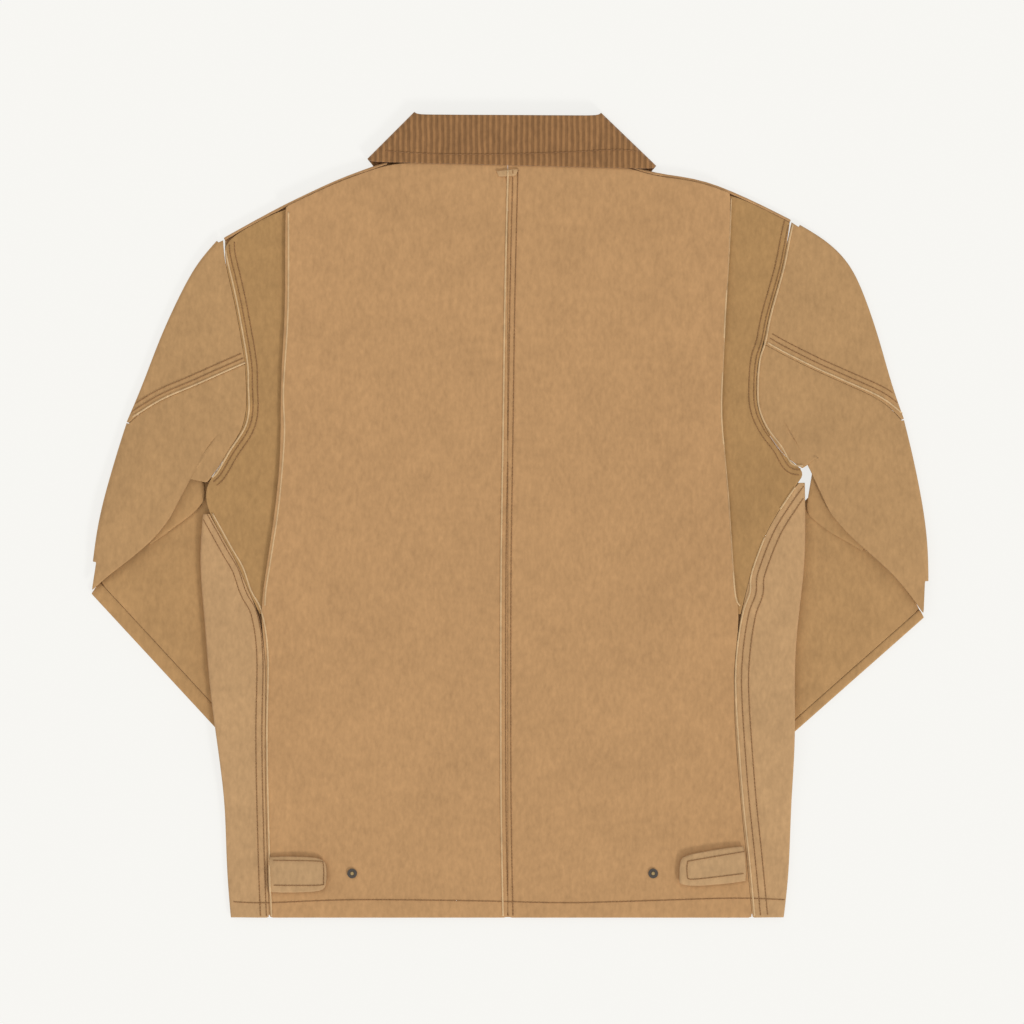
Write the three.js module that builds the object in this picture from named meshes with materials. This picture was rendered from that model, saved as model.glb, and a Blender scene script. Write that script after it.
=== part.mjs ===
// A barn jacket in washed duck canvas, laid flat with its back up and its forearms tucked under it.
// Millimetres, +Z up. `out` is the distance from the centre line, `up` the distance from the hem,
// and the wearer's left is at -X. Every panel is a wall of cloth on a patch between four edges,
// and neighbouring panels share the points of the seam between them.
import * as THREE from 'three';

const CANVAS = 1.5;
const CORDUROY = 1.6;
const SEAM_GAP = 0.3;
const LAYER_GAP = 0.3;
const HOLLOW = 3.4;
const ARC_STEPS = 4;

// Heights of the stacked layers.
const TOP_LAYER = CANVAS + HOLLOW;
const FOREARM_HEIGHT = 5;
const PILE = FOREARM_HEIGHT + 4 * LAYER_GAP;
const COLLAR_LIFT = CORDUROY + LAYER_GAP;
const CAP_HEIGHT = 1;
const PLACKET_LIFT = CAP_HEIGHT + LAYER_GAP;
const PLACKET_HALF = 20;
const PLEAT_LIFT = 2 * (CANVAS + LAYER_GAP);
const PLEAT_DEPTH = 32;
const PLEAT_SLOPE = 40;
const SIDE_LIP = 20;
const EDGE_LIP = 4;
const PILE_SLOPE = 50;
const PILE_MARGIN = 12;
const WEDGE = 0.25;
const CREASE_HEIGHT = 2 * CANVAS + LAYER_GAP;

const CANVAS_FINISH = { color: 0xc59b68, roughness: 0.92, metalness: 0 };
const UNDER_FINISH = { color: 0xb98e5c, roughness: 0.92, metalness: 0 };
const CORDUROY_FINISH = { color: 0x9c7146, roughness: 0.95, metalness: 0 };
const GUNMETAL_FINISH = { color: 0x55504a, roughness: 0.4, metalness: 0.9 };
const BRASS_FINISH = { color: 0xcaa35c, roughness: 0.3, metalness: 0.95 };

const { clamp, lerp, smoothstep } = THREE.MathUtils;
const jacket = new THREE.Group();

// The edges of each half, from the hem towards the neck or from the body outwards.
const HALVES = {
  left: {
    sign: -1,
    elbow: { out: 418, up: 327, axisOut: -0.679, axisUp: -0.734 },
    forearm: { length: 260, elbowWidth: 170, cuffWidth: 138, seam: 12 },
    sideSeam: [
      { out: 238, up: 2 }, { out: 240, up: 60 }, { out: 242, up: 180 }, { out: 241, up: 262 }, { out: 247, up: 305 },
    ],
    sideSeamTop: [
      { out: 247, up: 305 }, { out: 258, up: 327 }, { out: 266, up: 350 }, { out: 277, up: 369 }, { out: 297, up: 405 },
    ],
    sideFold: [
      { out: 277, up: 2 }, { out: 281, up: 50 }, { out: 283, up: 120 }, { out: 288, up: 162 }, { out: 297, up: 228 },
      { out: 304, up: 318 }, { out: 308, up: 352 }, { out: 304, up: 405 },
    ],
    armpit: [{ out: 297, up: 405 }, { out: 301.5, up: 418 }, { out: 299.5, up: 436 }],
    armholeLow: [
      { out: 299.5, up: 436 }, { out: 291, up: 445 }, { out: 279, up: 466 }, { out: 265, up: 488 },
      { out: 260.5, up: 506 }, { out: 261, up: 530 }, { out: 262, up: 555 },
    ],
    armholeHigh: [
      { out: 262, up: 555 }, { out: 270, up: 602 }, { out: 276, up: 631 }, { out: 283, up: 661 }, { out: 284, up: 678 },
    ],
    pleatEdge: [
      { out: 247, up: 305 }, { out: 244, up: 328 }, { out: 237, up: 372 }, { out: 231, up: 416 }, { out: 226, up: 482 },
      { out: 227, up: 526 }, { out: 223, up: 592 }, { out: 222, up: 636 }, { out: 223, up: 711 },
    ],
    shoulderOuter: [{ out: 284, up: 681 }, { out: 250, up: 700 }, { out: 223, up: 714.5 }],
    shoulderInner: [
      { out: 223, up: 714.5 }, { out: 190, up: 730 }, { out: 158, up: 744.5 }, { out: 134, up: 751.5 }, { out: 121, up: 757 },
    ],
    sleeveEdgeHigh: [
      { out: 381, up: 497 }, { out: 368, up: 527 }, { out: 345, up: 587 }, { out: 331, up: 617 }, { out: 316, up: 647 },
      { out: 306, up: 662 }, { out: 291, up: 678 },
    ],
    sleeveEdgeLow: [
      { out: 381, up: 497 }, { out: 390, up: 467 }, { out: 405, up: 407 }, { out: 415, up: 347 }, { out: 418, up: 329 },
    ],
    sleeveSeam: [
      { out: 262, up: 555 }, { out: 287, up: 544 }, { out: 316, up: 531 }, { out: 348, up: 517 }, { out: 381, up: 497 },
    ],
    crease: [
      { out: 299.5, up: 436 }, { out: 320, up: 441 }, { out: 329, up: 417 }, { out: 340, up: 395 }, { out: 357, up: 376 },
      { out: 384, up: 354 }, { out: 418, up: 329 },
    ],
    tuckEdge: [{ out: 301, up: 421 }, { out: 311, up: 408 }, { out: 332, up: 392 }, { out: 357, up: 374 }],
    tab: [
      { sewn: 239, tip: 186, up: 63.5 }, { sewn: 239, tip: 180.5, up: 57 },
      { sewn: 240, tip: 180.5, up: 33 }, { sewn: 240, tip: 186, up: 27.5 },
    ],
    socket: { out: 195, up: 46 },
    stud: { out: 155.3, up: 46.3 },
  },
  right: {
    sign: 1,
    elbow: { out: 418, up: 303, axisOut: -0.749, axisUp: -0.662 },
    forearm: { length: 219, elbowWidth: 170, cuffWidth: 140, seam: 7 },
    sideSeam: [
      { out: 244, up: 2 }, { out: 239, up: 56 }, { out: 231, up: 133 }, { out: 225, up: 221 }, { out: 226, up: 265 },
      { out: 232, up: 305 },
    ],
    sideSeamTop: [
      { out: 232, up: 305 }, { out: 239, up: 325 }, { out: 241, up: 345 }, { out: 257, up: 387 }, { out: 276, up: 418 },
      { out: 289, up: 436 },
    ],
    sideFold: [
      { out: 276, up: 2 }, { out: 281, up: 45 }, { out: 283, up: 110 }, { out: 287, up: 187 }, { out: 286, up: 232 },
      { out: 289, up: 297 }, { out: 296, up: 345 }, { out: 297, up: 390 }, { out: 296.5, up: 436 },
    ],
    armpit: [{ out: 289, up: 436 }, { out: 294, up: 442 }, { out: 293.5, up: 450 }],
    armholeLow: [
      { out: 293.5, up: 450 }, { out: 287, up: 450.5 }, { out: 281, up: 453 }, { out: 271, up: 470 }, { out: 256.5, up: 490 },
      { out: 248.5, up: 510 }, { out: 247.5, up: 533 }, { out: 249.5, up: 557 }, { out: 255, up: 575 },
    ],
    armholeHigh: [
      { out: 255, up: 575 }, { out: 260.5, up: 602 }, { out: 273, up: 647 }, { out: 280, up: 682 }, { out: 283, up: 696 },
    ],
    pleatEdge: [
      { out: 232, up: 305 }, { out: 226, up: 321 }, { out: 222, up: 385 }, { out: 220, up: 420 }, { out: 217, up: 453 },
      { out: 213, up: 505 }, { out: 215, up: 563 }, { out: 217, up: 607 }, { out: 221, up: 673 }, { out: 223, up: 726 },
    ],
    shoulderOuter: [{ out: 283, up: 699 }, { out: 262, up: 710 }, { out: 223, up: 728 }],
    shoulderInner: [
      { out: 223, up: 728 }, { out: 200, up: 737 }, { out: 170, up: 743 }, { out: 148, up: 745 }, { out: 122, up: 754 },
    ],
    sleeveEdgeHigh: [
      { out: 396, up: 500 }, { out: 386, up: 527 }, { out: 369, up: 587 }, { out: 353, up: 632 }, { out: 338, up: 662 },
      { out: 318, up: 679 }, { out: 292, up: 694 },
    ],
    sleeveEdgeLow: [
      { out: 396, up: 500 }, { out: 404, up: 467 }, { out: 415, up: 407 }, { out: 419, up: 347 }, { out: 418, up: 305 },
    ],
    sleeveSeam: [
      { out: 255, up: 575 }, { out: 273, up: 565 }, { out: 305, up: 549 }, { out: 334, up: 536 }, { out: 371, up: 519 },
      { out: 396, up: 500 },
    ],
    crease: [
      { out: 293.5, up: 450 }, { out: 298, up: 460 }, { out: 304, up: 467 }, { out: 309.5, up: 461 }, { out: 314, up: 429 },
      { out: 325, up: 400 }, { out: 351, up: 374 }, { out: 381, up: 348 }, { out: 418, up: 305 },
    ],
    tuckEdge: [{ out: 297, up: 406 }, { out: 320, up: 387.5 }, { out: 337, up: 378 }, { out: 354, up: 368 }],
    tab: [
      { sewn: 237, tip: 176, up: 65.5, slant: 9 }, { sewn: 237.5, tip: 171, up: 60, slant: 9 },
      { sewn: 238.5, tip: 171, up: 37, slant: 7 }, { sewn: 239, tip: 181, up: 32.5, slant: 6 },
    ],
    socket: { out: 189, up: 51 },
    stud: { out: 145, up: 46.3 },
  },
};

// Steps along each edge, so that panels on both sides of a seam have the same points.
const STEPS = {
  sideSeam: 7, sideSeamTop: 4, armpit: 2, armholeLow: 6, armholeHigh: 7, pleatEdge: 10,
  shoulderOuter: 2, shoulderInner: 4, neck: 4, sleeveSeam: 8,
};

// A smooth line through a table's rows, as evenly spaced plan points.
function edge(half, rows, steps) {
  const curve = new THREE.CatmullRomCurve3(
    rows.map((row) => new THREE.Vector3(half.sign * row.out, row.up, 0)),
    false,
    'centripetal',
  );
  return curve.getSpacedPoints(steps);
}

function chain(...edges) {
  return edges.reduce((joined, next) => [...joined, ...next.slice(joined.length ? 1 : 0)], []);
}

function reversed(points) {
  return [...points].reverse();
}

// The plan direction square to an edge at each point, on the side away from `centre`.
function outward(points, centre) {
  return points.map((point, index) => {
    const before = points[Math.max(index - 1, 0)];
    const after = points[Math.min(index + 1, points.length - 1)];
    const normal = new THREE.Vector3(after.y - before.y, before.x - after.x, 0).normalize();
    return normal.dot(point.clone().sub(centre)) < 0 ? normal.negate() : normal;
  });
}

function inset(points, centre, distance) {
  const normals = outward(points, centre);
  return points.map((point, index) => point.clone().addScaledVector(normals[index], -distance));
}

// A piece of cloth: quads on its middle surface, thickened along their normals and closed round the rim.
class Cloth {
  constructor(wall) {
    this.wall = wall;
    this.points = [];
    this.quads = [];
  }

  add(point) {
    this.points.push(point);
    return this.points.length - 1;
  }

  // A patch between four chains of plan points: `low` and `high` run from `near` to `far`.
  patch(near, far, low, high, middle) {
    const rows = near.length - 1;
    const columns = low.length - 1;
    this.grid = near.map((start, i) => low.map((_, j) => {
      const v = i / rows;
      const u = j / columns;
      const point = new THREE.Vector3()
        .addScaledVector(near[i], 1 - u)
        .addScaledVector(far[i], u)
        .addScaledVector(low[j], 1 - v)
        .addScaledVector(high[j], v)
        .addScaledVector(near[0], -(1 - u) * (1 - v))
        .addScaledVector(far[0], -u * (1 - v))
        .addScaledVector(near[rows], -(1 - u) * v)
        .addScaledVector(far[rows], -u * v);
      point.z = middle(point.x, point.y);
      return this.add(point);
    }));
    this.join(this.grid);
  }

  join(lines) {
    for (let i = 0; i + 1 < lines.length; i += 1) {
      for (let j = 0; j + 1 < lines[i].length; j += 1) {
        this.quads.push([lines[i][j], lines[i][j + 1], lines[i + 1][j + 1], lines[i + 1][j]]);
      }
    }
  }

  side(name) {
    const lines = {
      near: this.grid.map((line) => line[0]),
      far: this.grid.map((line) => line[line.length - 1]),
      low: this.grid[0],
      high: this.grid[this.grid.length - 1],
    };
    return lines[name];
  }

  // Rolls the cloth over at a stretch of its rim, to the height `target`, and on by `lip`.
  fold(rim, normals, target, lip, lipSteps) {
    const lines = rim.map((index, k) => {
      const start = this.points[index];
      const normal = normals[k];
      const end = target(start.x, start.y);
      const radius = (start.z - end) / 2;
      const reach = Math.abs(radius);
      const line = [index];
      for (let step = 1; step <= ARC_STEPS; step += 1) {
        const angle = (Math.PI * step) / ARC_STEPS;
        const point = start.clone().addScaledVector(normal, reach * Math.sin(angle));
        point.z = start.z - radius * (1 - Math.cos(angle));
        line.push(this.add(point));
      }
      const length = typeof lip === 'function' ? lip(start.x, start.y) : lip;
      for (let step = 1; step <= lipSteps; step += 1) {
        const point = start.clone().addScaledVector(normal, (-length * step) / lipSteps);
        point.z = target(point.x, point.y);
        line.push(this.add(point));
      }
      return line;
    });
    const meets = this.quads.some((quad) => quad.some((from, k) => from === rim[1] && quad[(k + 1) % 4] === rim[0]));
    this.join(meets ? lines.reverse() : lines);
  }

  geometry() {
    const normals = this.points.map(() => new THREE.Vector3());
    this.quads.forEach(([a, b, c, d]) => {
      const face = new THREE.Vector3()
        .subVectors(this.points[c], this.points[a])
        .cross(new THREE.Vector3().subVectors(this.points[d], this.points[b]))
        .normalize();
      [a, b, c, d].forEach((index) => normals[index].add(face));
    });
    normals.forEach((normal) => normal.normalize());
    const count = this.points.length;
    const positions = [1, -1].flatMap((side) => this.points.flatMap((point, index) => {
      const wall = typeof this.wall === 'function' ? this.wall(index) : this.wall;
      return point.clone().addScaledVector(normals[index], (side * wall) / 2).toArray();
    }));
    const faces = this.quads.flatMap(([a, b, c, d]) => [
      [a, b, c], [a, c, d], [c + count, b + count, a + count], [d + count, c + count, a + count],
    ]);
    const edges = new Map();
    this.quads.forEach((quad) => quad.forEach((from, k) => edges.set(`${from},${quad[(k + 1) % 4]}`, [from, quad[(k + 1) % 4]])));
    edges.forEach(([from, to]) => {
      if (!edges.has(`${to},${from}`)) {
        faces.push([to, from, from + count], [to, from + count, to + count]);
      }
    });
    const geometry = new THREE.BufferGeometry();
    geometry.setAttribute('position', new THREE.Float32BufferAttribute(positions, 3));
    const turn = enclosed(positions, faces) < 0;
    geometry.setIndex(faces.flatMap((face) => (turn ? [...face].reverse() : face)));
    geometry.computeVertexNormals();
    return geometry;
  }
}

// Six times the signed volume inside a closed list of triangles.
function enclosed(positions, faces) {
  const corner = (index) => new THREE.Vector3().fromArray(positions, 3 * index);
  return faces.reduce((sum, [a, b, c]) => sum + corner(a).dot(corner(b).cross(corner(c))), 0);
}

function piece(name, geometry, finish) {
  const mesh = new THREE.Mesh(geometry, new THREE.MeshStandardMaterial(finish));
  mesh.name = name;
  jacket.add(mesh);
  return mesh;
}

// How far the tucked forearm lifts whatever lies over it, faded out around its outline.
function pile(half, x, up) {
  const { elbow, forearm } = half;
  const dx = half.sign * x - elbow.out;
  const dy = up - elbow.up;
  const along = dx * elbow.axisOut + dy * elbow.axisUp;
  const across = dx * elbow.axisUp - dy * elbow.axisOut;
  const width = lerp(forearm.elbowWidth, forearm.cuffWidth, clamp(along / forearm.length, 0, 1));
  const slope = (distance) => smoothstep(distance, -PILE_SLOPE - PILE_MARGIN, -PILE_MARGIN);
  const thin = lerp(lerp(0.2, 1, smoothstep(across, 0, 70)), 1, smoothstep(along, 10, 60));
  return PILE * thin * slope(along + WEDGE * across) * slope(forearm.length - along)
    * slope(across) * slope(width - across);
}

function collarLift(x, up) {
  return COLLAR_LIFT * smoothstep(up, 600, 650) * (1 - smoothstep(Math.abs(x), 150, 200));
}

function placketLift(x) {
  return PLACKET_LIFT * (1 - smoothstep(Math.abs(x), PLACKET_HALF + 25, PLACKET_HALF + 65));
}

const bodyLift = (half) => (x, up) => Math.max(pile(half, x, up), collarLift(x, up));
const topMiddle = (half) => (x, up) => TOP_LAYER + CANVAS / 2 + bodyLift(half)(x, up);
const floorMiddle = () => CANVAS / 2;

function frontMiddle(half) {
  const overlap = half.sign > 0 ? CANVAS + LAYER_GAP : 0;
  return (x, up) => {
    const lift = Math.max(bodyLift(half)(x, up), placketLift(x));
    const step = overlap * (1 - smoothstep(x, PLACKET_HALF + 25, PLACKET_HALF + 70));
    return CANVAS / 2 + lift + step;
  };
}

// The back leaf stands higher towards the pleat, where its return and the underlay lie beneath it.
function backMiddle(half) {
  const folded = edge(half, half.pleatEdge, 20);
  const flat = topMiddle(half);
  return (x, up) => {
    const near = folded.reduce((best, point) => (Math.abs(point.y - up) < Math.abs(best.y - up) ? point : best));
    const depth = Math.abs(near.x) - half.sign * x;
    const across = 1 - smoothstep(depth, PLEAT_DEPTH, PLEAT_DEPTH + PLEAT_SLOPE);
    return flat(x, up) + PLEAT_LIFT * across * smoothstep(up, 285, 325);
  };
}

function seams(half) {
  const line = (name, steps = STEPS[name]) => edge(half, half[name], steps);
  const shoulderOuter = line('shoulderOuter');
  const shoulderInner = line('shoulderInner');
  return {
    sideSeam: line('sideSeam'),
    sideSeamTop: line('sideSeamTop'),
    armpit: line('armpit'),
    armholeLow: line('armholeLow'),
    armholeHigh: line('armholeHigh'),
    pleatEdge: line('pleatEdge'),
    shoulder: chain(shoulderOuter, shoulderInner),
    sleeveSeam: line('sleeveSeam'),
    sleeveEdgeHigh: line('sleeveEdgeHigh', STEPS.armholeHigh),
    sleeveEdgeLow: line('sleeveEdgeLow', STEPS.armholeLow),
    crease: line('crease', STEPS.sleeveSeam),
    sideFold: line('sideFold', STEPS.sideSeam + STEPS.sideSeamTop),
  };
}

const BODY_CENTRE = new THREE.Vector3(0, 380, 0);
const FOLD_INSET = CANVAS / 2 + TOP_LAYER / 2;
const HALF_GAP = SEAM_GAP / 2;

function straight(from, to, steps) {
  return Array.from({ length: steps + 1 }, (_, k) => from.clone().lerp(to, k / steps));
}

function backPanel(side, half, seam) {
  const outer = inset(chain(seam.sideSeam, seam.pleatEdge), BODY_CENTRE, HALF_GAP);
  const top = inset(seam.shoulder.slice(STEPS.shoulderOuter), BODY_CENTRE, FOLD_INSET + SEAM_GAP);
  outer[outer.length - 1] = top[0].clone();
  const neck = new THREE.Vector3(half.sign * HALF_GAP, 764, 0);
  const high = chain(straight(neck, reversed(top)[0], STEPS.neck), reversed(top));
  const hem = new THREE.Vector3(half.sign * HALF_GAP, 2, 0);
  const cloth = new Cloth(CANVAS);
  cloth.patch(
    straight(hem, neck, outer.length - 1),
    outer,
    straight(hem, outer[0], high.length - 1),
    high,
    backMiddle(half),
  );
  piece(`back_${side}`, cloth.geometry(), CANVAS_FINISH);
}

function pleatPanel(side, half, seam) {
  const centre = new THREE.Vector3(half.sign * 150, 500, 0);
  const outer = inset(chain(seam.sideSeamTop, seam.armpit, seam.armholeLow, seam.armholeHigh), centre, HALF_GAP);
  const top = inset(seam.shoulder.slice(0, STEPS.shoulderOuter + 1), BODY_CENTRE, FOLD_INSET + SEAM_GAP);
  outer[outer.length - 1] = top[0].clone();
  const corner = top[top.length - 1].clone();
  corner.x -= half.sign * PLEAT_DEPTH;
  const high = reversed([...top, corner]);
  const start = outer[0].clone();
  start.x -= half.sign * 6;
  const cloth = new Cloth(CANVAS);
  cloth.patch(
    straight(start, corner, outer.length - 1),
    outer,
    straight(start, outer[0], high.length - 1),
    high,
    topMiddle(half),
  );
  piece(`pleat_${side}`, cloth.geometry(), UNDER_FINISH);
}

function sidePanel(side, half, seam) {
  const centre = new THREE.Vector3(half.sign * 100, 250, 0);
  const inner = inset(chain(seam.sideSeam, seam.sideSeamTop), centre, -HALF_GAP);
  const fold = inset(seam.sideFold, centre, FOLD_INSET);
  const columns = 2;
  const cloth = new Cloth(CANVAS);
  cloth.patch(
    inner,
    fold,
    straight(inner[0], fold[0], columns),
    straight(inner[inner.length - 1], fold[fold.length - 1], columns),
    topMiddle(half),
  );
  const under = (x, up) => CANVAS / 2 + bodyLift(half)(x, up);
  cloth.fold(cloth.side('far'), outward(fold, centre), under, SIDE_LIP, 2);
  piece(`side_${side}`, cloth.geometry(), CANVAS_FINISH);
}

function frontPanel(side, half, seam) {
  const centre = new THREE.Vector3(half.sign * 100, 250, 0);
  const sideEdge = inset(seam.sideFold, centre, FOLD_INSET + SIDE_LIP + SEAM_GAP);
  const armhole = inset(chain(seam.armholeLow, seam.armholeHigh), new THREE.Vector3(half.sign * 150, 500, 0), HALF_GAP);
  const outer = [...sideEdge, ...armhole];
  const shoulder = inset(seam.shoulder, BODY_CENTRE, FOLD_INSET);
  outer[outer.length - 1] = shoulder[0].clone();
  const throat = new THREE.Vector3(half.sign > 0 ? -PLACKET_HALF : PLACKET_HALF, 700, 0);
  const hem = new THREE.Vector3(throat.x, 2, 0);
  const high = chain(straight(throat, reversed(shoulder)[0], STEPS.neck), reversed(shoulder));
  const cloth = new Cloth(CANVAS);
  cloth.patch(
    straight(hem, throat, outer.length - 1),
    outer,
    straight(hem, outer[0], high.length - 1),
    high,
    frontMiddle(half),
  );
  const rim = cloth.side('high').slice(STEPS.neck);
  cloth.fold(rim, outward(reversed(shoulder), BODY_CENTRE), topMiddle(half), 0, 0);
  piece(`front_${side}`, cloth.geometry(), UNDER_FINISH);
}

function sleevePieces(side, half, seam) {
  const centre = new THREE.Vector3(half.sign * 320, 520, 0);
  const foldHigh = inset(seam.sleeveEdgeHigh, centre, FOLD_INSET);
  const foldLow = inset(seam.sleeveEdgeLow, centre, FOLD_INSET);
  const armHigh = inset(seam.armholeHigh, centre, HALF_GAP);
  const armLow = inset(seam.armholeLow, centre, HALF_GAP);
  const seamUp = seam.sleeveSeam.map((point) => point.clone().add(new THREE.Vector3(0, HALF_GAP, 0)));
  const seamDown = seam.sleeveSeam.map((point) => point.clone().add(new THREE.Vector3(0, -HALF_GAP, 0)));
  const middle = topMiddle(half);
  seamUp[0] = armHigh[0].clone();
  seamUp[seamUp.length - 1] = foldHigh[0].clone();
  const top = new Cloth(CANVAS);
  const last = armHigh.length - 1;
  top.patch(armHigh, foldHigh, seamUp, straight(armHigh[last], foldHigh[last], seamUp.length - 1), middle);
  top.fold(top.side('far'), outward(foldHigh, centre), floorMiddle, EDGE_LIP, 1);
  piece(`sleeve_top_${side}`, top.geometry(), CANVAS_FINISH);

  const armholeDown = reversed(armLow);
  armholeDown[0] = armHigh[0].clone().add(new THREE.Vector3(0, -SEAM_GAP, 0));
  foldLow[0] = foldHigh[0].clone().add(new THREE.Vector3(0, -3 * SEAM_GAP, 0));
  seamDown[0] = armholeDown[0].clone();
  seamDown[seamDown.length - 1] = foldLow[0].clone();
  const crease = seam.crease.map((point) => point.clone());
  crease[0] = armholeDown[armholeDown.length - 1].clone();
  crease[crease.length - 1] = foldLow[foldLow.length - 1].clone();
  const under = new Cloth(CANVAS);
  under.patch(armholeDown, foldLow, seamDown, crease, middle);
  under.fold(
    under.side('far').slice(0, -1),
    outward(foldLow, centre).slice(0, -1),
    floorMiddle,
    EDGE_LIP,
    1,
  );
  piece(`sleeve_under_${side}`, under.geometry(), CANVAS_FINISH);

  // The lower face of the upper arm, between the armhole, the outer fold's return and the forearm.
  const lowerOuter = inset(chain(reversed(seam.sleeveEdgeLow), seam.sleeveEdgeHigh).slice(1, -1), centre, FOLD_INSET + EDGE_LIP + 3 * SEAM_GAP);
  const lowerInner = chain(armLow, armHigh).slice(1, -1);
  lowerInner[0] = armLow[1].clone().add(new THREE.Vector3(half.sign * 4, 22, 0));
  const elbow = elbowPoint(half);
  const corner = elbow(-60, half.forearm.elbowWidth + 8);
  const base = chain(straight(lowerInner[0], corner, 2), straight(corner, lowerOuter[0], 3));
  const end = lowerInner.length - 1;
  const front = new Cloth(CANVAS);
  front.patch(lowerInner, lowerOuter, base, straight(lowerInner[end], lowerOuter[end], 5), floorMiddle);
  piece(`sleeve_front_${side}`, front.geometry(), UNDER_FINISH);
}

// A plan point from its distances along the forearm from the elbow and across from the outer edge.
function elbowPoint(half) {
  const { elbow } = half;
  return (along, across) => new THREE.Vector3(
    half.sign * (elbow.out + along * elbow.axisOut + across * elbow.axisUp),
    elbow.up + along * elbow.axisUp - across * elbow.axisOut,
    0,
  );
}

// The forearm: a flat tube in two pieces, split at the back seam and at a seam on its lower face.
function forearmPieces(side, half) {
  const { length, elbowWidth, cuffWidth, seam } = half.forearm;
  const place = elbowPoint(half);
  const rows = 8;
  const radius = (FOREARM_HEIGHT - CANVAS) / 2;
  const reach = radius + CANVAS / 2;
  const across = (outerSide, row, distance) => {
    const width = lerp(elbowWidth, cuffWidth, row / rows);
    const position = outerSide ? distance : width - distance;
    const start = row === 0 ? -WEDGE * position : 0;
    return place(start + (length * row) / rows + (row === 0 ? 3 : 0), position);
  };
  const strip = (outerSide, upper, lower) => Array.from({ length: rows + 1 }, (_, row) => {
    const line = upper(row).map((distance) => across(outerSide, row, distance).setZ(FOREARM_HEIGHT - CANVAS / 2));
    for (let step = 1; step < ARC_STEPS; step += 1) {
      const angle = (Math.PI * step) / ARC_STEPS;
      const point = across(outerSide, row, reach - radius * Math.sin(angle));
      line.push(point.setZ(FOREARM_HEIGHT / 2 + radius * Math.cos(angle)));
    }
    line.push(...lower(row).map((distance) => across(outerSide, row, distance).setZ(CANVAS / 2)));
    return line;
  });
  const width = (row) => lerp(elbowWidth, cuffWidth, row / rows);
  const backSeam = seam + reach;
  const lowerSeam = 30;
  const spread = (from, to, steps) => Array.from({ length: steps + 1 }, (_, k) => lerp(from, to, k / steps));
  const outerStrip = strip(
    true,
    () => [backSeam - HALF_GAP, reach],
    (row) => spread(reach, width(row) - lowerSeam - HALF_GAP, 3),
  );
  const innerStrip = strip(
    false,
    (row) => spread(width(row) - backSeam - HALF_GAP, reach, 3),
    () => [reach, lowerSeam - HALF_GAP],
  );
  [['forearm_edge', outerStrip], ['forearm_main', innerStrip]].forEach(([name, lines]) => {
    const cloth = new Cloth(CANVAS);
    cloth.join(lines.map((line) => line.map((point) => cloth.add(point))));
    piece(`${name}_${side}`, cloth.geometry(), CANVAS_FINISH);
  });
}

// The hidden layers of the elbow's fold, as one rounded solid whose lower edge shows.
function elbowTuck(side, half) {
  const shown = edge(half, half.tuckEdge, 6);
  const hidden = shown.map((point, k) => point.clone().add(new THREE.Vector3(half.sign * 9, 54 - 5 * k, 0)));
  const cloth = new Cloth((index) => (Math.floor(index / 4) % 6 === 0 || index % 4 % 3 === 0 ? 1 : CREASE_HEIGHT - 0.6));
  const height = FOREARM_HEIGHT + LAYER_GAP + (CREASE_HEIGHT - 0.6) / 2;
  cloth.patch(shown, hidden, straight(shown[0], hidden[0], 3), straight(shown[6], hidden[6], 3), () => height);
  piece(`elbow_tuck_${side}`, cloth.geometry(), UNDER_FINISH);
}

Object.entries(HALVES).forEach(([side, half]) => {
  const seam = seams(half);
  backPanel(side, half, seam);
  pleatPanel(side, half, seam);
  sidePanel(side, half, seam);
  frontPanel(side, half, seam);
  sleevePieces(side, half, seam);
  forearmPieces(side, half);
  elbowTuck(side, half);
});

// The collar: a flattened ring of corduroy, its fall outside and its stand inside.
const COLLAR = {
  middle: 5.2,
  outerHalf: 4.4,
  rollTop: [{ x: -90, up: 803 }, { x: 90, up: 802 }],
  fallEdge: [{ x: -137, up: 756 }, { x: 145, up: 749 }],
  point: { out: 62, up: 655 },
  throat: { out: 12, up: 728 },
};

function collarPiece() {
  const [rollLeft, rollRight] = COLLAR.rollTop.map(({ x, up }) => new THREE.Vector3(x, up, 0));
  const [edgeLeft, edgeRight] = COLLAR.fallEdge.map(({ x, up }) => new THREE.Vector3(x, up, 0));
  const throat = (sign) => new THREE.Vector3(sign * COLLAR.throat.out, COLLAR.throat.up, 0);
  const point = (sign) => new THREE.Vector3(sign * COLLAR.point.out, COLLAR.point.up, 0);
  const columns = [];
  const low = -COLLAR.outerHalf;
  const leaf = (rollFrom, rollTo, edgeFrom, edgeTo, steps, height) => {
    for (let k = 0; k <= steps; k += 1) {
      columns.push({ roll: rollFrom.clone().lerp(rollTo, k / steps), fall: edgeFrom.clone().lerp(edgeTo, k / steps), height });
    }
  };
  const wrap = (roll, fall, sign, rising) => {
    const normal = new THREE.Vector3(roll.y - fall.y, fall.x - roll.x, 0).normalize().multiplyScalar(sign);
    for (let step = 1; step < ARC_STEPS; step += 1) {
      const angle = (Math.PI * step) / ARC_STEPS;
      const offset = normal.clone().multiplyScalar(COLLAR.outerHalf * Math.sin(angle));
      const height = (rising ? -1 : 1) * COLLAR.outerHalf * Math.cos(angle);
      columns.push({ roll: roll.clone().add(offset), fall: fall.clone().add(offset), height });
    }
  };
  leaf(throat(-1), rollLeft, point(-1), edgeLeft, 5, low);
  wrap(rollLeft, edgeLeft, -1, true);
  leaf(rollLeft, rollRight, edgeLeft, edgeRight, 10, -low);
  wrap(rollRight, edgeRight, 1, false);
  leaf(rollRight, throat(1), edgeRight, point(1), 5, low);
  const cloth = new Cloth(CORDUROY);
  const lines = columns.map(({ roll, fall, height }) => [0, 1, 2, 3].map((k) => {
    const place = fall.clone().lerp(roll, k / 3);
    place.z = COLLAR.middle + height;
    return cloth.add(place);
  }));
  cloth.join(lines);
  piece('collar', cloth.geometry(), CORDUROY_FINISH);
}

collarPiece();

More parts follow.
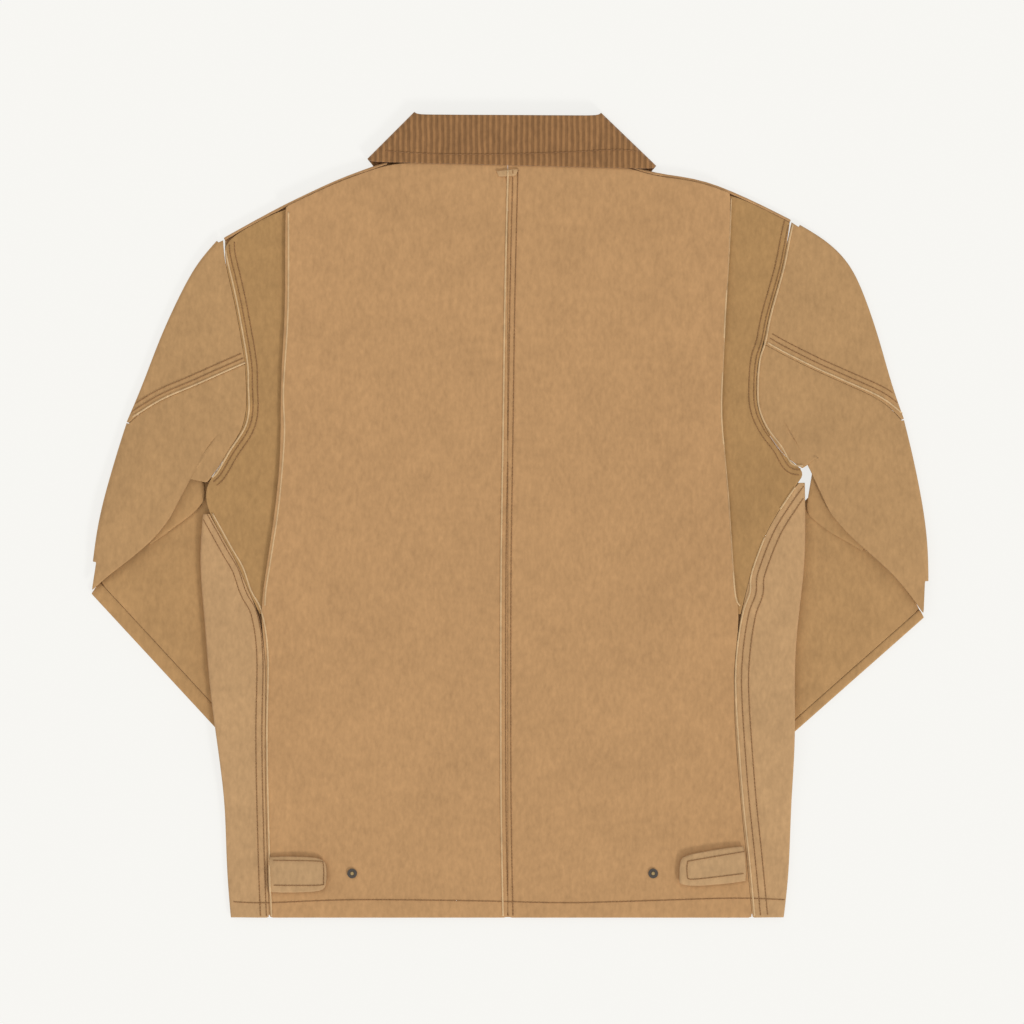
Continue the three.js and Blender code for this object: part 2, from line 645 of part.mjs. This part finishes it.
// A flat plate on the back: plan points around it, lying `rise` above the cloth.
function plate(name, outline, thickness, base, finish) {
  const shape = new THREE.Shape(outline.map((point) => new THREE.Vector2(point.x, point.y)));
  const geometry = new THREE.ExtrudeGeometry(shape, { depth: thickness, bevelEnabled: false });
  piece(name, geometry, finish).position.z = base;
}

const BACK_TOP = TOP_LAYER + CANVAS;

Object.entries(HALVES).forEach(([side, half]) => {
  const sewn = half.tab.map((row) => new THREE.Vector2(half.sign * (row.sewn - 1), row.up + (row.slant ?? 0)));
  const tip = half.tab.map((row) => new THREE.Vector2(half.sign * row.tip, row.up));
  plate(`tab_${side}`, [sewn[0], tip[0], tip[1], tip[2], tip[3], sewn[3]], 2, BACK_TOP + 2, CANVAS_FINISH);
  const disc = (name, radius, hole, height, base, spot, finish) => {
    const shape = new THREE.Shape().absarc(half.sign * spot.out, spot.up, radius, 0, 2 * Math.PI);
    if (hole) {
      shape.holes.push(new THREE.Path().absarc(half.sign * spot.out, spot.up, hole, 0, 2 * Math.PI, true));
    }
    const geometry = new THREE.ExtrudeGeometry(shape, { depth: height, bevelEnabled: false, curveSegments: 16 });
    piece(name, geometry, finish).position.z = base;
  };
  disc(`snap_socket_${side}`, 6, 0, 1.4, BACK_TOP + LAYER_GAP, half.socket, GUNMETAL_FINISH);
  disc(`stud_ring_${side}`, 4.8, 2, 1.2, BACK_TOP + LAYER_GAP, half.stud, GUNMETAL_FINISH);
  disc(`stud_post_${side}`, 1.6, 0, 2, BACK_TOP + LAYER_GAP, half.stud, BRASS_FINISH);
});

for (let k = 0; k < 6; k += 1) {
  const shape = new THREE.Shape().absarc(0, 60 + 115 * k, 7.5, 0, 2 * Math.PI);
  const geometry = new THREE.ExtrudeGeometry(shape, { depth: CAP_HEIGHT, bevelEnabled: false, curveSegments: 12 });
  piece(`snap_cap_${k + 1}`, geometry, GUNMETAL_FINISH);
}

const loop = [[-11.5, 747], [11, 749], [8, 742], [-9, 741]].map(([x, y]) => new THREE.Vector2(x, y));
plate('hang_loop', loop, 1.4, BACK_TOP + COLLAR_LIFT + LAYER_GAP, CANVAS_FINISH);

// The jacket stands with the middle of its footprint at the origin.
jacket.updateMatrixWorld(true);
const box = new THREE.Box3().setFromObject(jacket);
jacket.position.set(-(box.min.x + box.max.x) / 2, -(box.min.y + box.max.y) / 2, -box.min.z);

export default jacket;
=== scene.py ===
"""A washed duck-canvas barn jacket laid flat, back up: cloth, seams, stitches and finishes."""
import math

import bmesh
import bpy
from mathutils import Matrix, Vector, noise
from mathutils.bvhtree import BVHTree


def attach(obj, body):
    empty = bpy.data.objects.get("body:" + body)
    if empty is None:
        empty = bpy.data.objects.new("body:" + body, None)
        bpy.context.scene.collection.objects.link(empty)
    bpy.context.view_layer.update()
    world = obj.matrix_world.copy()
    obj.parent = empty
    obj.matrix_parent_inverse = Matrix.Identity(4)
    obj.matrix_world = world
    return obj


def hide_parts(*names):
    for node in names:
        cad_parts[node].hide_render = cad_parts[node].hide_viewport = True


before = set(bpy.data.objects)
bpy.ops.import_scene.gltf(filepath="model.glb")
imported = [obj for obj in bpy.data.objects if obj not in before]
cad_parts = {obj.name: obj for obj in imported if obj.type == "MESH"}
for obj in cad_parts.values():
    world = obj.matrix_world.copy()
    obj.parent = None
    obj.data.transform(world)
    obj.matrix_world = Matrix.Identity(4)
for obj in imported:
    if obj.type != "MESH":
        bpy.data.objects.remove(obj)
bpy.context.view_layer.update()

MM = 0.001
HEM_Y = -402.5  # the hem's own place in the frame, in mm
TOP_HEIGHT = 5.5  # layers above this height in mm carry the creases
HEM_RIPPLE = {"high": 0.5, "reach": 22}
STITCH = {"length": 2.2, "pitch": 3.1, "radius": 0.42, "sides": 5, "lift": 0.1, "crown": 0.3}
STITCH_STEP_LIMIT = 1.5  # a stitch never climbs more than this from one layer to the next, in mm
SEAM_EDGE = {"wide": 0.9, "high": 0.7, "lift": 0.35, "sides": 8}
PLEAT_EDGE = {"wide": 0.8, "high": 0.5, "lift": 0.0, "sides": 8}
PLEAT_INSET = 1.2  # from the folded edge to the middle of its worn ridge, in mm

WELD_DISTANCE = 2e-5  # metres
JOIN_FACE_ANGLE = math.radians(50)
JOIN_SHAPE_ANGLE = math.radians(80)
RIM_ANGLE = math.radians(60)
RIM_CREASE = 0.85

# ---------------------------------------------------------------- materials


def node_tools(material):
    material.use_nodes = True
    tree = material.node_tree
    return tree, tree.nodes["Principled BSDF"]


def add_noise(tree, scale, detail, stretch=(1, 1, 1)):
    place = tree.nodes.new("ShaderNodeTexCoord")
    mapping = tree.nodes.new("ShaderNodeMapping")
    mapping.inputs["Scale"].default_value = stretch
    tree.links.new(place.outputs["Object"], mapping.inputs["Vector"])
    texture = tree.nodes.new("ShaderNodeTexNoise")
    texture.inputs["Scale"].default_value = scale
    texture.inputs["Detail"].default_value = detail
    tree.links.new(mapping.outputs["Vector"], texture.inputs["Vector"])
    return texture.outputs["Fac"]


def blend_colour(tree, factor, dark, light):
    ramp = tree.nodes.new("ShaderNodeValToRGB")
    ramp.color_ramp.elements[0].position = 0.32
    ramp.color_ramp.elements[1].position = 0.68
    ramp.color_ramp.elements[0].color = (*dark, 1)
    ramp.color_ramp.elements[1].color = (*light, 1)
    tree.links.new(factor, ramp.inputs["Fac"])
    return ramp.outputs["Color"]


def average(tree, first, second, share):
    mix = tree.nodes.new("ShaderNodeMix")
    mix.data_type = "FLOAT"
    mix.inputs[0].default_value = share
    tree.links.new(first, mix.inputs[2])
    tree.links.new(second, mix.inputs[3])
    return mix.outputs[0]


def add_bump(tree, shader, height, distance, strength):
    bump = tree.nodes.new("ShaderNodeBump")
    bump.inputs["Distance"].default_value = distance
    bump.inputs["Strength"].default_value = strength
    tree.links.new(height, bump.inputs["Height"])
    tree.links.new(bump.outputs["Normal"], shader.inputs["Normal"])


def canvas(name, colour, spread=0.1):
    """Washed duck: a fibrous weave with soft mottles where the dye has rubbed away."""
    material = bpy.data.materials.new(name)
    tree, shader = node_tools(material)
    fibres = add_noise(tree, 330, 4, (1, 0.55, 1))
    mottle = add_noise(tree, 30, 7)
    slubs = add_noise(tree, 150, 3, (1.3, 0.6, 1))
    cloud = average(tree, average(tree, fibres, mottle, 0.45), slubs, 0.4)
    dark = [value * (1 - 1.5 * spread) for value in colour]
    light = [value * (1 + 1.5 * spread) for value in colour]
    tree.links.new(blend_colour(tree, cloud, dark, light), shader.inputs["Base Color"])
    shader.inputs["Roughness"].default_value = 0.93
    shader.inputs["Specular IOR Level"].default_value = 0.15
    shader.inputs["Sheen Weight"].default_value = 0.12
    shader.inputs["Sheen Roughness"].default_value = 0.5
    add_bump(tree, shader, average(tree, fibres, slubs, 0.5), 0.0008, 0.5)
    return material


def corduroy(name, colour):
    """Ribbed cotton: the wales are a wave in the bump and colour, paler on their tops."""
    material = canvas(name, colour, 0.14)
    tree = material.node_tree
    shader = tree.nodes["Principled BSDF"]
    shader.inputs["Sheen Weight"].default_value = 0.25
    place = tree.nodes.new("ShaderNodeTexCoord")
    wave = tree.nodes.new("ShaderNodeTexWave")
    wave.inputs["Scale"].default_value = 56
    wave.inputs["Distortion"].default_value = 1.1
    wave.inputs["Detail"].default_value = 1
    tree.links.new(place.outputs["Object"], wave.inputs["Vector"])
    wales = blend_colour(tree, wave.outputs["Fac"], [0.78] * 3, [1.12] * 3)
    tint = tree.nodes.new("ShaderNodeMix")
    tint.data_type = "RGBA"
    tint.blend_type = "MULTIPLY"
    tint.inputs[0].default_value = 1
    tree.links.new(shader.inputs["Base Color"].links[0].from_socket, tint.inputs[6])
    tree.links.new(wales, tint.inputs[7])
    tree.links.new(tint.outputs[2], shader.inputs["Base Color"])
    add_bump(tree, shader, wave.outputs["Fac"], 0.0012, 0.8)
    return material


def metal(name, colour, roughness):
    material = bpy.data.materials.new(name)
    tree, shader = node_tools(material)
    scuffs = add_noise(tree, 900, 3)
    dark = [value * 0.8 for value in colour]
    tree.links.new(blend_colour(tree, scuffs, dark, colour), shader.inputs["Base Color"])
    shader.inputs["Metallic"].default_value = 1
    shader.inputs["Roughness"].default_value = roughness
    add_bump(tree, shader, scuffs, 0.0001, 0.4)
    return material


BACK = canvas("canvas_back", (0.560, 0.318, 0.142))
PLEAT = canvas("canvas_pleat", (0.475, 0.272, 0.108))
SIDE = canvas("canvas_side", (0.570, 0.345, 0.165))
SLEEVE = canvas("canvas_sleeve", (0.520, 0.305, 0.135))
FOREARM = canvas("canvas_forearm", (0.505, 0.290, 0.122))
TAB = canvas("canvas_tab", (0.555, 0.345, 0.170))
EDGE = canvas("canvas_worn_edge", (0.690, 0.470, 0.250), 0.14)
THREAD = canvas("thread", (0.330, 0.170, 0.070), 0.1)
COLLAR = corduroy("corduroy_collar", (0.350, 0.175, 0.068))
GUNMETAL = metal("gunmetal", (0.16, 0.14, 0.12), 0.38)
BRASS = metal("brass", (0.72, 0.52, 0.24), 0.28)

# ---------------------------------------------------------------- cloth

# Creases: ends in mm (x, distance above the hem), half width and height.
CREASES = [
    {"from": (-60, 700), "to": (-20, 520), "wide": 14, "high": 0.9},
    {"from": (70, 690), "to": (120, 560), "wide": 16, "high": -0.8},
    {"from": (40, 430), "to": (95, 330), "wide": 12, "high": -0.7},
    {"from": (-120, 420), "to": (-60, 250), "wide": 20, "high": 0.8},
    {"from": (110, 300), "to": (60, 120), "wide": 18, "high": 0.8},
    {"from": (-180, 180), "to": (-110, 60), "wide": 15, "high": -0.7},
    {"from": (228, 722), "to": (261, 670), "wide": 6, "high": -1.2},
    {"from": (238, 487), "to": (242, 357), "wide": 6, "high": 1.0},
    {"from": (293, 332), "to": (260, 257), "wide": 8, "high": 1.1},
    {"from": (-304, 474), "to": (-351, 397), "wide": 9, "high": 1.2},
    {"from": (315, 463), "to": (341, 392), "wide": 8, "high": 1.3},
    {"from": (290, 520), "to": (370, 430), "wide": 16, "high": -1.0},
    {"from": (-290, 520), "to": (-370, 450), "wide": 15, "high": -1.0},
    {"from": (-220, 272), "to": (-242, 270), "wide": 5, "high": 0.9},
    {"from": (201, 280), "to": (226, 283), "wide": 5, "high": 0.9},
    {"from": (330, 640), "to": (300, 580), "wide": 14, "high": 0.8},
    {"from": (-330, 600), "to": (-290, 570), "wide": 14, "high": 0.8},
]


def crease_height(x, up):
    height = 0
    for crease in CREASES:
        start = Vector(crease["from"])
        run = Vector(crease["to"]) - start
        point = Vector((x, up)) - start
        share = min(1, max(0, point.dot(run) / run.length_squared))
        away = (point - run * share).length / crease["wide"]
        if away < 3:
            taper = math.sin(math.pi * (0.1 + 0.8 * share))
            height += crease["high"] * math.exp(-away * away) * taper
    broad = noise.noise(Vector((x / 75, up / 110, 0.3)))
    small = noise.noise(Vector((x / 24, up / 34, 4.2)))
    return height + 1.1 * broad + 0.4 * small


def hem_ripple(x, up):
    """Slanting puckers of the stitched hem, fading out a little above it."""
    wave = math.sin(0.21 * x + 0.5 * up + 2 * math.sin(0.03 * x))
    return HEM_RIPPLE["high"] * wave * max(0, 1 - up / HEM_RIPPLE["reach"])


def panel_cage(node):
    """The CAD panel welded into quads, with its rims marked to stay crisp."""
    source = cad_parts[node]
    mesh = source.data.copy()
    mesh.transform(source.matrix_world)
    work = bmesh.new()
    work.from_mesh(mesh)
    bmesh.ops.remove_doubles(work, verts=work.verts, dist=WELD_DISTANCE)
    bmesh.ops.join_triangles(
        work,
        faces=work.faces,
        angle_face_threshold=JOIN_FACE_ANGLE,
        angle_shape_threshold=JOIN_SHAPE_ANGLE,
    )
    crease = work.edges.layers.float.new("crease_edge")
    for edge in work.edges:
        if len(edge.link_faces) == 2 and edge.calc_face_angle(0) > RIM_ANGLE:
            edge[crease] = RIM_CREASE
    work.to_mesh(mesh)
    work.free()
    return mesh


def subdivide(piece, levels):
    """Applies a smooth subdivision, so that the piece keeps no modifier."""
    modifier = piece.modifiers.new("smooth", "SUBSURF")
    modifier.levels = levels
    modifier.render_levels = levels
    bpy.context.view_layer.update()
    depsgraph = bpy.context.evaluated_depsgraph_get()
    fine = bpy.data.meshes.new_from_object(piece.evaluated_get(depsgraph))
    piece.modifiers.clear()
    piece.data = fine


def lay_creases(mesh):
    """Moves the upper layers up and down by the creases and the hem's ripples."""
    for vertex in mesh.vertices:
        x, y, z = (value / MM for value in vertex.co)
        up = y - HEM_Y
        share = min(1, max(0, (z - TOP_HEIGHT) / 2))
        lift = crease_height(x, up) * share
        vertex.co.z = (z + lift + hem_ripple(x, up) * share) * MM


def cloth_piece(node, material, levels):
    """The CAD panel as a fine smooth sheet with the jacket's creases laid into its upper layers."""
    piece = bpy.data.objects.new(f"cloth_{node}", panel_cage(node))
    bpy.context.scene.collection.objects.link(piece)
    subdivide(piece, levels)
    lay_creases(piece.data)
    piece.data.materials.clear()
    piece.data.materials.append(material)
    piece.data.shade_smooth()
    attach(piece, "root")
    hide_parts(node)
    return piece


# The panels of each side, with how many times each is subdivided.
PANELS = [
    {"name": "back", "material": BACK, "levels": 3},
    {"name": "pleat", "material": PLEAT, "levels": 3},
    {"name": "side", "material": SIDE, "levels": 3},
    {"name": "front", "material": BACK, "levels": 1},
    {"name": "sleeve_top", "material": SLEEVE, "levels": 3},
    {"name": "sleeve_under", "material": SLEEVE, "levels": 3},
    {"name": "sleeve_front", "material": SLEEVE, "levels": 1},
    {"name": "forearm_edge", "material": FOREARM, "levels": 2},
    {"name": "forearm_main", "material": FOREARM, "levels": 2},
    {"name": "elbow_tuck", "material": FOREARM, "levels": 2},
    {"name": "tab", "material": TAB, "levels": 2},
]

sheets = []
for side in ("left", "right"):
    for panel in PANELS:
        node = f"{panel['name']}_{side}"
        sheets.append(cloth_piece(node, panel["material"], panel["levels"]))
sheets.append(cloth_piece("collar", COLLAR, 3))
hang_loop = cloth_piece("hang_loop", TAB, 2)  # a loop too short to count as a sheet

for node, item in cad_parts.items():
    if node.startswith(("snap", "stud_ring", "stud_post")):
        item.data.materials.clear()
        item.data.materials.append(BRASS if node.startswith("stud_post") else GUNMETAL)

# ---------------------------------------------------------------- seams and stitches

bpy.context.view_layer.update()
SURFACES = [
    BVHTree.FromPolygons(
        [vertex.co for vertex in piece.data.vertices],
        [face.vertices for face in piece.data.polygons],
    )
    for piece in [*sheets, hang_loop]
]


def surface_height(x, up):
    """The highest cloth in metres at a plan point in mm."""
    start = Vector((x * MM, (up + HEM_Y) * MM, 0.1))
    hits = [tree.ray_cast(start, Vector((0, 0, -1)))[0] for tree in SURFACES]
    return max((hit.z for hit in hits if hit), default=None)


def smooth_line(points, step):
    """A Catmull-Rom line through plan points, sampled about every `step` mm."""
    line = []
    ends = [points[0], *points, points[-1]]
    for a, b, c, d in zip(ends, ends[1:], ends[2:], ends[3:]):
        a, b, c, d = (Vector(point) for point in (a, b, c, d))
        count = max(2, round((c - b).length / step))
        for k in range(count):
            t = k / count
            square = (2 * a - 5 * b + 4 * c - d) * t ** 2
            cube = (3 * b - a - 3 * c + d) * t ** 3
            line.append(0.5 * (2 * b + (c - a) * t + square + cube))
    return [*line, Vector(points[-1])]


def shifted(line, distance):
    moved = []
    for k, point in enumerate(line):
        run = line[min(k + 1, len(line) - 1)] - line[max(k - 1, 0)]
        moved.append(point + Vector((run.y, -run.x)).normalized() * distance)
    return moved


def tube(points, width, height, sides, verts, faces):
    """Adds a closed flattened tube, of half width and half height in metres, along 3-D points."""
    first = len(verts)
    for k, point in enumerate(points):
        run = (points[min(k + 1, len(points) - 1)] - points[max(k - 1, 0)]).normalized()
        across = run.cross(Vector((0, 0, 1))).normalized()
        for s in range(sides):
            angle = 2 * math.pi * s / sides
            rise = Vector((0, 0, height * math.sin(angle)))
            verts.append(point + across * (width * math.cos(angle)) + rise)
    for k in range(len(points) - 1):
        for s in range(sides):
            a = first + k * sides + s
            b = first + k * sides + (s + 1) % sides
            faces.append((a, a + sides, b + sides, b))
    faces.append([first + s for s in range(sides)])
    faces.append([first + (len(points) - 1) * sides + s for s in reversed(range(sides))])


def joined(name, verts, faces, material):
    mesh = bpy.data.meshes.new(name)
    mesh.from_pydata(verts, [], faces)
    mesh.update()
    work = bmesh.new()
    work.from_mesh(mesh)
    bmesh.ops.recalc_face_normals(work, faces=work.faces)
    work.to_mesh(mesh)
    work.free()
    mesh.materials.append(material)
    mesh.shade_smooth()
    piece = bpy.data.objects.new(name, mesh)
    bpy.context.scene.collection.objects.link(piece)
    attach(piece, "root")


def on_cloth(line, lift):
    placed = []
    for point in line:
        height = surface_height(point.x, point.y)
        if height is not None:
            placed.append(Vector((point.x * MM, (point.y + HEM_Y) * MM, height + lift * MM)))
    return placed


# Seams in mm: plan points (x, distance above the hem), where the worn edge runs, and its stitch rows.
SEAMS = {
    "centre_back": {"rows": (5, 10), "line": [
        (-7, 2), (-9, 130), (-9, 330), (-7, 480), (-5, 620), (-2, 748)]},
    "side_left": {"rows": (-5, -11), "line": [
        (-238, 2), (-240, 60), (-242, 180), (-241, 262), (-247, 305), (-258, 327), (-266, 350),
        (-277, 369), (-297, 405)]},
    "side_right": {"rows": (6, 13), "line": [
        (244, 2), (239, 56), (231, 133), (225, 221), (226, 265), (232, 305), (239, 325), (241, 345),
        (257, 387), (276, 418), (289, 436)]},
    "armhole_left": {"rows": (4, 9), "line": [
        (-298, 438), (-291, 445), (-279, 466), (-265, 488), (-260.5, 506), (-261, 530), (-262, 555),
        (-270, 602), (-276, 631), (-283, 661), (-284, 676)]},
    "armhole_right": {"rows": (-4, -9), "line": [
        (292, 451), (281, 453), (271, 470), (256.5, 490), (248.5, 510), (247.5, 533), (249.5, 557),
        (255, 575), (260.5, 602), (273, 647), (280, 682), (283, 694)]},
    "sleeve_left": {"rows": (5, 10), "line": [
        (-264, 554), (-287, 544), (-316, 531), (-348, 517), (-378, 499)]},
    "sleeve_right": {"rows": (-5, -10), "line": [
        (257, 574), (273, 565), (305, 549), (334, 536), (371, 519), (393, 502)]},
}
PLEATS = {
    "pleat_left": [
        (-245, 312), (-244, 328), (-237, 372), (-231, 416), (-226, 482), (-227, 526), (-223, 592),
        (-222, 636), (-222, 705)],
    "pleat_right": [
        (230, 312), (225, 325), (221, 385), (219, 420), (216, 453), (212, 505), (214, 563), (216, 607),
        (220, 673), (222, 722)],
}
ROWS = {
    "hem": [(-276, 16), (-242, 15), (-156, 18), (-41, 17), (50, 15), (105, 16), (220, 19.5), (275, 18)],
    "collar": [(-124, 765), (-79, 762), (-17, 761.5), (44, 763), (105, 766), (129, 764)],
    "tab_left": [(-236, 58), (-190, 57), (-186, 54), (-186, 36), (-190, 33), (-236, 33)],
    "tab_right": [(236, 67), (183, 58), (177, 56), (177, 42), (183, 39), (236, 45)],
}

edge_verts = []
edge_faces = []
stitch_verts = []
stitch_faces = []


def sew(line):
    """Adds a row of short stitches along a plan line, one for each pitch."""
    travelled = 0
    start = None
    thick = STITCH["radius"] * MM
    for before, after in zip(line, line[1:]):
        travelled += (after - before).length
        if start is None:
            start = before
        if travelled >= STITCH["length"]:
            ends = on_cloth([start, (start + after) / 2, after], STITCH["lift"])
            if len(ends) == 3 and max(p.z for p in ends) - min(p.z for p in ends) < STITCH_STEP_LIMIT * MM:
                ends[1].z += STITCH["crown"] * MM
                tube(ends, thick, thick, STITCH["sides"], stitch_verts, stitch_faces)
            start = None
            travelled = STITCH["length"] - STITCH["pitch"]


def wear(line, edge):
    """Adds the pale worn ridge of a seam or fold along a plan line."""
    placed = on_cloth(line[::4], edge["lift"])
    tube(placed, edge["wide"] * MM, edge["high"] * MM, edge["sides"], edge_verts, edge_faces)


for seam in SEAMS.values():
    line = smooth_line(seam["line"], 1.0)
    wear(line, SEAM_EDGE)
    for offset in seam["rows"]:
        sew(shifted(line, offset))
for points in PLEATS.values():
    inward = PLEAT_INSET if points[0][0] < 0 else -PLEAT_INSET
    wear(shifted(smooth_line(points, 1.0), inward), PLEAT_EDGE)
for points in ROWS.values():
    sew(smooth_line(points, 1.0))
joined("worn_seam_edges", edge_verts, edge_faces, EDGE)
joined("stitches", stitch_verts, stitch_faces, THREAD)

# ---------------------------------------------------------------- stage, light and camera


def white_to_camera(tree, colour, share, lit):
    path = tree.nodes.new("ShaderNodeLightPath")
    glow = tree.nodes.new("ShaderNodeEmission")
    glow.inputs["Color"].default_value = (*colour, 1)
    amount = tree.nodes.new("ShaderNodeMath")
    amount.operation = "MULTIPLY"
    amount.inputs[1].default_value = share
    tree.links.new(path.outputs["Is Camera Ray"], amount.inputs[0])
    mix = tree.nodes.new("ShaderNodeMixShader")
    tree.links.new(amount.outputs[0], mix.inputs[0])
    tree.links.new(lit.outputs[0], mix.inputs[1])
    tree.links.new(glow.outputs[0], mix.inputs[2])
    return mix.outputs[0]


PALE = (0.956, 0.947, 0.913)
bpy.ops.mesh.primitive_plane_add(size=40, location=(0, 0, -0.0002))
floor = bpy.context.object
floor.name = "floor"
floor_material = bpy.data.materials.new("pale_floor")
floor_tree, floor_shader = node_tools(floor_material)
floor_shader.inputs["Base Color"].default_value = (*PALE, 1)
floor_shader.inputs["Roughness"].default_value = 0.9
floor_output = floor_tree.nodes["Material Output"]
floor_tree.links.new(white_to_camera(floor_tree, PALE, 0.8, floor_shader), floor_output.inputs["Surface"])
floor.data.materials.append(floor_material)

world = bpy.data.worlds.new("studio")
world.use_nodes = True
bpy.context.scene.world = world
sky = world.node_tree.nodes["Background"]
sky.inputs["Color"].default_value = (1, 1, 1, 1)
sky.inputs["Strength"].default_value = 0.6

for name, energy, angles, soft in [("key", 1.35, (62, 0, 35), 10), ("fill", 0.4, (50, 0, -120), 30)]:
    lamp = bpy.data.lights.new(name, "SUN")
    lamp.energy = energy
    lamp.angle = math.radians(soft)
    lamp_object = bpy.data.objects.new(name, lamp)
    lamp_object.rotation_euler = [math.radians(angle) for angle in angles]
    bpy.context.scene.collection.objects.link(lamp_object)

CAMERA_HEIGHT = 3.0
VIEW_WIDTH = 1.024
camera_data = bpy.data.cameras.new("camera")
camera_data.lens = camera_data.sensor_width * CAMERA_HEIGHT / VIEW_WIDTH
camera = bpy.data.objects.new("camera", camera_data)
camera.location = (0.002, 0.0025, CAMERA_HEIGHT)
bpy.context.scene.collection.objects.link(camera)
bpy.context.scene.camera = camera
bpy.context.scene.view_settings.view_transform = "Standard"
